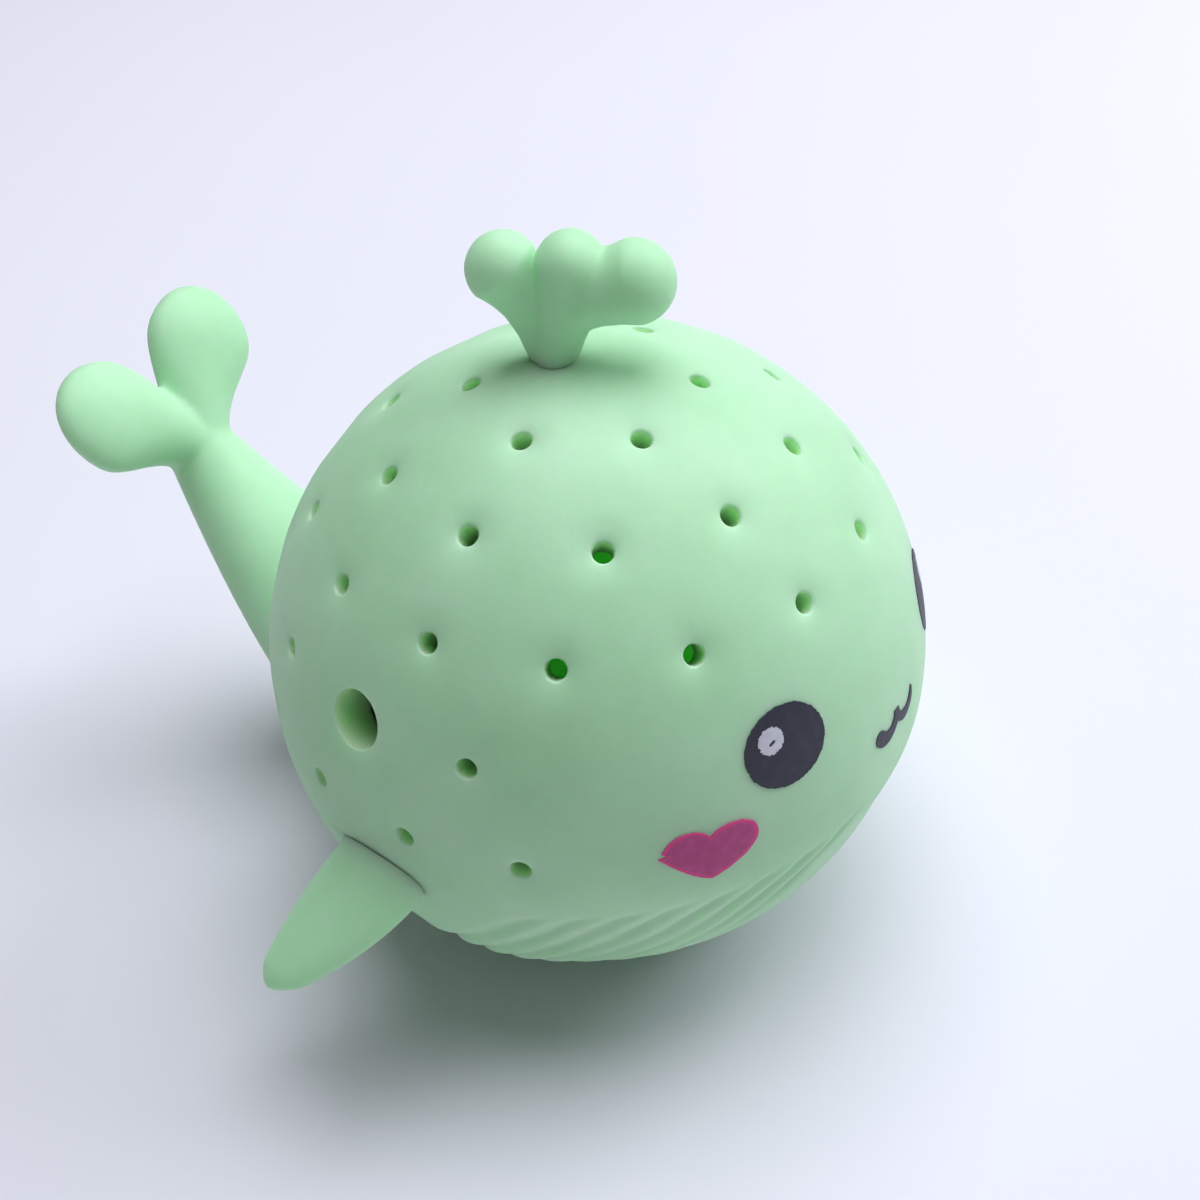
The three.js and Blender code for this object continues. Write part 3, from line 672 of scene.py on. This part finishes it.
def paint_inside_glow(obj):
    """Gives the walls of the holes and the hollow a lighter, greener copy of the rubber: painted glow
    standing in for light that comes through the wall.
    """
    obj.data.materials.append(PAINTED_GLOW_RUBBER)
    middle = np.empty(len(obj.data.polygons) * 3)
    obj.data.polygons.foreach_get("center", middle)
    middle = middle.reshape(-1, 3) / MM
    reach = np.linalg.norm(middle - CENTRE, axis=1)
    skin = R + skin_offset(unit(middle - CENTRE))
    # Faces below the skin and above the foot get the painted glow
    deep = (reach < skin - PAINTED_GLOW_DEPTH) & (middle[:, 2] > PAINTED_GLOW_DEPTH)
    obj.data.polygons.foreach_set("material_index", deep.astype(np.int32))


body_skin = body()
finish_piece(body_skin, MINT, "body", "mint", "shell_right", "shell_left")
# The hole walls and the hollow get the painted glow
paint_inside_glow(body_skin)


# Pieces on pegs


def ball_tool(radius):
    turn = np.linspace(0.01, math.pi - 0.01, 96)
    profile = [(radius * math.sin(a), -radius * math.cos(a)) for a in turn]
    return gather("ball_tool", [lathe(Station(*TOP_PLACE), profile, 160)])


def place_local(obj, station):
    """Moves a mesh made in a station's own millimetre frame into the scene."""
    coords = np.empty(len(obj.data.vertices) * 3)
    obj.data.vertices.foreach_get("co", coords)
    world = station.world(coords.reshape(-1, 3) / MM) * MM
    obj.data.vertices.foreach_set("co", world.ravel())
    if station.mirrored:
        obj.data.flip_normals()
    obj.data.update()


def rooted(obj, station, peg):
    """Places a piece, cuts its root back to the ball and adds the turned peg under it."""
    place_local(obj, station)
    boolean(obj, ball_tool(R + ROOT_GAP), "DIFFERENCE")
    boolean(obj, gather("peg", [lathe(station, peg, PEG_SIDES)]), "UNION")
    smooth(obj, 50)
    return obj


def inner_height(radius):
    """How far out a disc of a radius can lie inside the wall."""
    return math.sqrt((R - WALL) ** 2 - radius**2)


def spout():
    level = math.radians(90 - SPOUT_PLACE[0])
    base = np.array([0, 0, R])
    fan = np.array([math.cos(level), 0, -math.sin(level)])
    rise = np.array([math.tan(math.radians(SPOUT_LEAN)), 0, 1])
    depth = np.array([0.0, 1, 0])

    def at(out, up):
        return base + out * fan + up * rise

    def field(points):
        form = oval_cone(points, at(*SPOUT_FOOT), at(*SPOUT_TIP), SPOUT_STEM, SPOUT_FINGER, depth)
        for side, arm in ((-1, SPOUT_LEFT_ARM), (1, SPOUT_RIGHT_ARM)):
            limbs = [oval_cone(points, at(side * a[0], a[1]), at(side * b[0], b[1]), a[2:], b[2:], depth)
                     for a, b in zip(arm, arm[1:])]
            whole = limbs[0]
            for part in limbs[1:]:
                whole = melt(whole, part, SPOUT_FILLET)
            form = melt(form, whole, SPOUT_CREASE[side])
        return form

    verts, faces = skin_of(field, base - SPOUT_BOX[0], base + SPOUT_BOX[1], SPOUT_CELL)
    obj = make("spout_skin", verts, faces)
    apply_modifier(obj, "SMOOTH", factor=0.5, iterations=SPOUT_SMOOTHING)
    flange, thickness = SPOUT_FLANGE
    top = inner_height(flange) - GAP
    peg = [(flange, top - thickness), (flange, top),
           (SPOUT_PEG, top), (SPOUT_PEG, R - SPOUT_SHOULDER_DEPTH),
           (SPOUT_WAIST, R - SPOUT_WAIST_DEPTH), (SPOUT_WAIST, R + SPOUT_PEG_REACH)]
    return rooted(obj, Station(*SPOUT_PLACE, SPOUT_TURN), peg)


def tail():
    def at(up, out):
        return np.array([0, up, R + out])

    across = np.array([1.0, 0, 0])
    neck, bend, start = at(*TAIL_NECK), at(*TAIL_BEND), at(*TAIL_START)
    height, width = TAIL_ROOT_HALVES
    stalk = limb([start, bend, neck], across, lambda t: lerp(height, TAIL_NECK_HALF, t),
                 lambda t: lerp(width, TAIL_NECK_HALF, t), 48, 40)
    along = unit(neck - bend)
    face = np.cross(along, across)
    tilt = math.radians(FLUKE_TILT)
    outward = across * math.cos(tilt) - along * math.sin(tilt)
    onward = along * math.cos(tilt) + across * math.sin(tilt)

    def fluke(side):
        curve = [neck + side * out * FLUKE_SPREAD * outward + beyond * FLUKE_LENGTH * onward
                 + curl * FLUKE_CURL * face for out, beyond, curl in FLUKE_CURVE]
        return limb(curve, face, lambda t: lerp(TAIL_NECK_HALF, FLUKE_HALF_WIDTH, smoothstep(t, 0.1, 0.7)),
                    lambda t: lerp(TAIL_NECK_HALF, FLUKE_HALF_THICKNESS, t), 40, 24, FLUKE_END)

    obj = gather("tail_skin", [(*solid, False) for solid in (stalk, fluke(1), fluke(-1))])
    apply_modifier(obj, "REMESH", mode="VOXEL", voxel_size=TAIL_CELL * MM, adaptivity=0)
    apply_modifier(obj, "SMOOTH", factor=0.5, iterations=TAIL_SMOOTHING)
    flange, thickness = TAIL_FLANGE
    top = inner_height(flange) - GAP
    peg = [(flange, top - thickness), (flange, top), (TAIL_PEG, top), (TAIL_PEG, R + TAIL_PEG_REACH)]
    return rooted(obj, Station(*TAIL_PLACE), peg)


def fin(name, station):
    droop = math.radians(FIN_DROOP)
    chordwise = np.array([1.0, 0, 0])
    spanwise = np.array([0, -math.sin(droop), math.cos(droop)])
    thickness = np.cross(spanwise, chordwise)
    angle = np.linspace(0, 2 * np.pi, 48, endpoint=False)
    rings = []
    for along in np.concatenate([[-0.25, -0.1], np.sin(np.radians(np.linspace(0, 87.5, 44)))]):
        out = max(along, 0)
        rounded = math.sqrt(1 - max(0, 1 - (1 - out) * FIN_SPAN / FIN_TIP_LENGTH) ** 2)
        chord = lerp(FIN_CHORD, FIN_TIP_CHORD, out**FIN_TAPER_POWER) * rounded
        thick = lerp(FIN_ROOT_THICKNESS, FIN_TIP_THICKNESS, out) * rounded
        swept = FIN_SWEEP * out**FIN_SWEEP_POWER
        middle = np.array([0, 0, R]) + along * FIN_SPAN * spanwise - swept * chordwise
        rings.append(middle + chord / 2 * np.cos(angle)[:, None] * chordwise
                     + thick / 2 * np.sin(angle)[:, None] * thickness)
    obj = make(name, *loft(rings))
    end = inner_height(COLLAR[0]) - 2 * GAP - COLLAR[1]
    return rooted(obj, station, [(FIN_PEG, end), (FIN_PEG, R + FIN_PEG_REACH)])


def fin_collar(name, station):
    """The ring that holds a fin's peg inside the wall."""
    radius, thickness = COLLAR
    high = inner_height(radius) - GAP
    low = high - thickness
    profile = [(radius - COLLAR_EDGE, low), (radius, low + COLLAR_EDGE),
               (radius, high - COLLAR_EDGE), (radius - COLLAR_EDGE, high)]
    obj = gather(name, [lathe(station, profile, PEG_SIDES)])
    bore = [(COLLAR_BORE, low - 1), (COLLAR_BORE, high + 1)]
    boolean(obj, gather("bore", [lathe(station, bore, PEG_SIDES)]), "DIFFERENCE")
    smooth(obj)
    return obj


def belly_stopper():
    """The stopper, turned from its tip inside the ball to the dished face under the foot."""
    shoulder = LIFT - PLUG_HEAD_THICKNESS
    dish_edge, dish, dish_depth = PLUG_DISH
    profile = [
        (PLUG_RADIUS - PLUG_EDGE, LIFT - PLUG_LENGTH),
        (PLUG_RADIUS, LIFT - PLUG_LENGTH + PLUG_EDGE),
        (PLUG_RADIUS, shoulder),
        (PLUG_HEAD_RADIUS - PLUG_HEAD_EDGE, shoulder),
        (PLUG_HEAD_RADIUS, shoulder + PLUG_HEAD_EDGE),
        (PLUG_HEAD_RADIUS, LIFT - PLUG_FACE_EDGE),
        (PLUG_HEAD_RADIUS - PLUG_FACE_EDGE, LIFT),
        (dish_edge, LIFT),
        (dish, LIFT - dish_depth),
    ]
    obj = gather("stopper", [lathe(Station(*FOOT_PLACE), profile, 96)])
    smooth(obj)
    return obj


finish_piece(spout(), MINT, "spout", "mint", "spout")
finish_piece(tail(), MINT, "tail", "mint", "tail")
for name in ("right", "left"):
    flank = Station(*FIN_PLACE, mirrored=name == "left")
    finish_piece(fin(f"fin_{name}_skin", flank), MINT, f"fin_{name}", "mint", f"fin_{name}")
    finish_piece(fin_collar(f"fin_collar_{name}", flank), MINT, f"fin_{name}", "mint", f"fin_cap_{name}")
finish_piece(belly_stopper(), STOPPER, "belly_plug", "stopper", "belly_plug")


# Printed face


def ragged(outline, amount):
    """A printed edge: coarse and fine wobble along an outline drawn round its middle."""
    n = len(outline)
    wobble = np.zeros(n)
    for knots, share in ((37, 0.6), (113, 1.0)):
        drawn = rng.normal(0, share, knots)
        wobble += np.interp(np.arange(n) / n * knots, np.arange(knots + 1), np.append(drawn, drawn[0]))
    size = np.linalg.norm(outline, axis=1, keepdims=True)
    return outline + outline / size * (amount * wobble)[:, None]


def on_skin(points, station, lift):
    """Points drawn on a station's XY, laid on the ball."""
    x, y = points[:, 0], points[:, 1]
    out = np.sqrt((R + lift) ** 2 - x**2 - y**2)
    return station.world(np.stack([x, y, out], -1))


def mark_edge(obj, values):
    """Stores how near each point is to the print's edge, for its ink to read."""
    attribute = obj.data.attributes.new("edge", "FLOAT", "POINT")
    attribute.data.foreach_set("value", np.asarray(values, np.float32))


def print_patch(name, station, outline, lift, fleck=None):
    """A thin layer of ink inside an outline that shows whole from its middle, round a bare fleck if any."""
    shares = np.concatenate([np.linspace(0.02, 0.8, 9), np.linspace(0.85, 1, 7)])
    inner = 0.02 * outline if fleck is None else fleck
    flat = [inner + (outline - inner) * s for s in shares]
    top = [on_skin(f, station, lift) for f in flat]
    under = [on_skin(f, station, lift - INK_THICKNESS) for f in (flat[-1], flat[0])]
    rings = [*top, under[0]] if fleck is None else [*top, *under, top[0]]
    near = [1 - smoothstep(np.linalg.norm(outline - f, axis=1), 0.12, 0.55) for f in flat]
    if fleck is None:
        verts, faces = loft(rings)
        edge = np.concatenate([*near, near[-1], [0, 0]])
    else:
        verts = np.concatenate(rings[:-1])
        count = len(verts)
        faces = [tuple(i % count for i in f) for f in grid_faces(len(rings), len(outline))]
        edge = np.concatenate([*near, near[-1], near[0]])
    obj = make(name, verts, faces, flip=station.mirrored)
    mark_edge(obj, edge)
    smooth(obj, 60)
    return obj


def heart_outline(width, height, notch, pointed):
    """A heart with its point down; the lobe away from the face is round, or runs out to a split tip."""
    half, high = width / 2, height / 2
    t = np.linspace(0, 1, 24, endpoint=False)
    dip = (0, high - notch)
    side = np.concatenate([
        bezier([(0, -high), (0.35 * half, -0.8 * high), (half, -0.25 * high), (half, 0.35 * high)], t),
        bezier([(half, 0.35 * high), (half, 0.75 * high), (0.8 * half, high), (0.5 * half, high)], t),
        bezier([(0.5 * half, high), (0.15 * half, high), dip], np.append(t, 1.0)),
    ])
    other = side * [-1, 1]
    if pointed:
        tip = (-1.08 * half, 0.24 * high)
        split = (-0.88 * half, 0.31 * high)
        second = (-1.0 * half, 0.42 * high)
        other = np.concatenate([
            bezier([(0, -high), (-0.4 * half, -0.78 * high), (-0.75 * half, -0.25 * high), tip], t),
            bezier([tip, split], t[::4]),
            bezier([split, second], t[::4]),
            bezier([second, (-0.9 * half, 0.75 * high), (-0.72 * half, high), (-0.45 * half, high)], t),
            bezier([(-0.45 * half, high), (-0.15 * half, high), dip], np.append(t, 1.0)),
        ])
    return np.concatenate([side, other[-2:0:-1]])


def ellipse_outline(width, height):
    angle = np.linspace(0, 2 * np.pi, OUTLINE_POINTS, endpoint=False)
    return np.stack([width / 2 * np.cos(angle), height / 2 * np.sin(angle)], -1)


def fleck_outline():
    """A leaf-shaped spot of missing ink, a little off the middle of the glint."""
    angle = np.linspace(0, 2 * np.pi, OUTLINE_POINTS, endpoint=False)
    size = 0.12 + 0.2 * np.abs(np.cos(angle - 0.5)) ** 3
    return np.stack([size * np.cos(angle) + 0.08, size * np.sin(angle) - 0.22], -1)


def mouth():
    """Two small hanging arcs drawn with one line, blobbed at the near end and thin at the far one."""
    strokes = []
    for x, start, end in ((-MOUTH_REACH, 1.2, 2.0), (MOUTH_REACH, 1.0, 1.97)):
        turn = math.pi * np.linspace(start, end, 60)
        strokes.append(np.stack([x + MOUTH_REACH * np.cos(turn),
                                 MOUTH_SAG / 2 + MOUTH_SAG * np.sin(turn)], -1))
    path = np.concatenate(strokes)
    tangent = unit(np.gradient(path, axis=0))
    normal = np.stack([-tangent[:, 1], tangent[:, 0]], -1)
    half = np.interp(np.linspace(-1, 1, len(path)), MOUTH_ALONG, MOUTH_HALF_LINE)
    half += WOBBLE["mouth"] * rng.normal(0, 1, len(path))
    upper, lower = path + normal * half[:, None], path - normal * half[:, None]
    cap = np.linspace(0, math.pi, 12)[1:-1]
    far_cap = [path[-1] + half[-1] * (np.sin(a) * tangent[-1] - np.cos(a) * normal[-1]) for a in cap]
    near_cap = [path[0] + half[0] * (np.cos(a) * normal[0] - np.sin(a) * tangent[0]) for a in cap]
    outline = np.concatenate([lower, far_cap, upper[::-1], near_cap])
    station = Station(*MOUTH_PLACE)
    top, low = on_skin(outline, station, MOUTH_LIFT), on_skin(outline, station, -MOUTH_SINK)
    n = len(outline)
    faces = [tuple(range(n))]
    faces += [(i, n + i, n + (i + 1) % n, (i + 1) % n) for i in range(n)]
    faces.append(tuple(range(2 * n - 1, n - 1, -1)))
    obj = make("mouth_print", np.concatenate([top, low]), faces)
    bm = bmesh.new()
    bm.from_mesh(obj.data)
    bmesh.ops.triangulate(bm, faces=bm.faces)
    bmesh.ops.recalc_face_normals(bm, faces=bm.faces)
    bm.to_mesh(obj.data)
    bm.free()
    smooth(obj, 60)
    return obj


def print_place(place, mirrored):
    """A print's station; the left ones sit lower than the right ones."""
    lat, az = place
    return Station(lat - LEFT_PRINT_DROP if mirrored else lat, az, mirrored=mirrored)


for name in ("right", "left"):
    mirrored = name == "left"
    outline = ragged(ellipse_outline(*EYE_SIZE), WOBBLE["eye"])
    eye = print_patch(f"eye_print_{name}", print_place(EYE_PLACE, mirrored), outline, INK_LIFT)
    finish_piece(eye, NAVY, "body", "navy_ink", f"eye_{name}")
    outline = ragged(ellipse_outline(*GLINT_SIZE), WOBBLE["glint"])
    glint = print_patch(f"glint_print_{name}", print_place(GLINT_PLACE, mirrored), outline, GLINT_LIFT,
                        None if mirrored else fleck_outline())
    finish_piece(glint, WHITE, "body", "white_ink", f"eye_glint_{name}")
    outline = ragged(heart_outline(*CHEEK_SIZE, CHEEK_NOTCH, pointed=not mirrored), WOBBLE["cheek"])
    cheek = print_patch(f"cheek_print_{name}", print_place(CHEEK_PLACE, mirrored), outline, INK_LIFT)
    finish_piece(cheek, PINK, "body", "pink_ink", f"cheek_{name}")
finish_piece(mouth(), NAVY, "body", "navy_ink", "mouth")


# Floor, light and camera, in metres

FLOOR_SIZE = 6
FLOOR_SEEN = ((0.735, 0.74, 0.85), (0.76, 0.765, 0.87))
FLOOR_BOUNCE = (0.76, 0.77, 0.78, 1)
LAMP_COLOUR = (0.97, 0.985, 1.0)
LAMP_AIM = Vector((0, 0, 0.03))
SKY_COLOUR = (1.0, 0.97, 0.88, 1)
SKY_STRENGTH = 0.10
CAMERA_PLACE = (0.06367, -0.09613, 0.13210)
CAMERA_RIGHT = (0.8512, 0.5238, -0.0345)
CAMERA_BACK = (0.4169, -0.6346, 0.6507)
CAMERA_LENS = 48.28

bpy.ops.mesh.primitive_plane_add(size=FLOOR_SIZE)
floor = bpy.context.object
floor.name = "floor"
floor_material, tree, shader, coords = new_material("pale_floor")
seen = ramp(tree, noise(tree, coords, 3.0), [(0.35, FLOOR_SEEN[0]), (0.65, FLOOR_SEEN[1])])
path = node(tree, "ShaderNodeLightPath").outputs
looked_at = larger(tree, path["Is Camera Ray"], path["Is Glossy Ray"])
looked_at = larger(tree, looked_at, path["Is Transmission Ray"])
show = node(tree, "ShaderNodeMixRGB")
show.inputs["Color1"].default_value = FLOOR_BOUNCE
tree.links.new(looked_at, show.inputs["Fac"])
tree.links.new(seen, show.inputs["Color2"])
tree.links.new(show.outputs["Color"], shader.inputs["Base Color"])
shader.inputs["Roughness"].default_value = 0.85
floor.data.materials.append(floor_material)


def area_light(name, place, size, power):
    data = bpy.data.lights.new(name, "AREA")
    data.shape = "DISK"
    data.size = size
    data.energy = power
    data.color = LAMP_COLOUR
    lamp = bpy.data.objects.new(name, data)
    lamp.location = place
    lamp.rotation_euler = (LAMP_AIM - Vector(place)).to_track_quat("-Z", "Y").to_euler()
    bpy.context.scene.collection.objects.link(lamp)


area_light("key", (-0.02, 0.15, 0.82), 0.75, 6.3)
area_light("side", (0.37, 0.50, 0.52), 0.5, 3.2)
area_light("low", (0.55, -0.50, 0.18), 0.6, 0.35)

world = bpy.data.worlds.new("studio")
bpy.context.scene.world = world
world.use_nodes = True
sky = world.node_tree.nodes["Background"]
sky.inputs["Color"].default_value = SKY_COLOUR
sky.inputs["Strength"].default_value = SKY_STRENGTH

camera_data = bpy.data.cameras.new("camera")
camera_data.sensor_width = 36
camera_data.lens = CAMERA_LENS
camera_data.clip_start = 0.005
camera = bpy.data.objects.new("camera", camera_data)
bpy.context.scene.collection.objects.link(camera)
right_axis = Vector(CAMERA_RIGHT).normalized()
back_axis = Vector(CAMERA_BACK)
back_axis = (back_axis - right_axis * back_axis.dot(right_axis)).normalized()
up_axis = back_axis.cross(right_axis)
turn = Matrix((right_axis, up_axis, back_axis)).transposed()
camera.matrix_world = Matrix.Translation(CAMERA_PLACE) @ turn.to_4x4()
bpy.context.scene.camera = camera
bpy.context.scene.view_settings.view_transform = "Standard"
